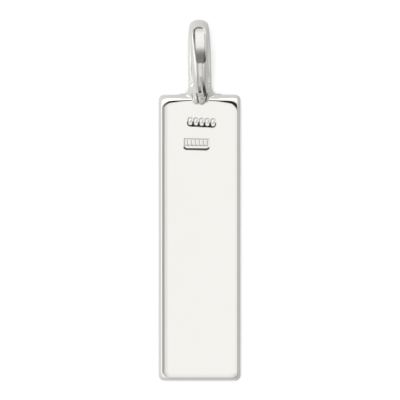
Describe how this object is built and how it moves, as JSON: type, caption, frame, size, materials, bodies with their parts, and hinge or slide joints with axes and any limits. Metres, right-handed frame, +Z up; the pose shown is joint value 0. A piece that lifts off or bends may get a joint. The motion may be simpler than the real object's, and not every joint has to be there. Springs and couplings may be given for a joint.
{
  "type": "enamel bar pendant",
  "caption": "Slim upright bar pendant in polished silver with a fixed open-back bail, a plain back and a flat enamel inlay on its front; hangs on a chain.",
  "frame": {"origin": "on the surface that the pendant lies on, under the middle of its whole outline", "axes": "+X across the bar, +Y along the bar towards the bail, +Z up out of the plain back; the enamelled front faces down"},
  "size_m": [0.008, 0.0354, 0.0041],
  "materials": {
    "silver": "polished silver with soft handling marks",
    "enamel": "smooth glossy enamel, one plain colour"
  },
  "bodies": {
    "root": {"body": "silver", "enamel": "enamel"}
  },
  "joints": []
}
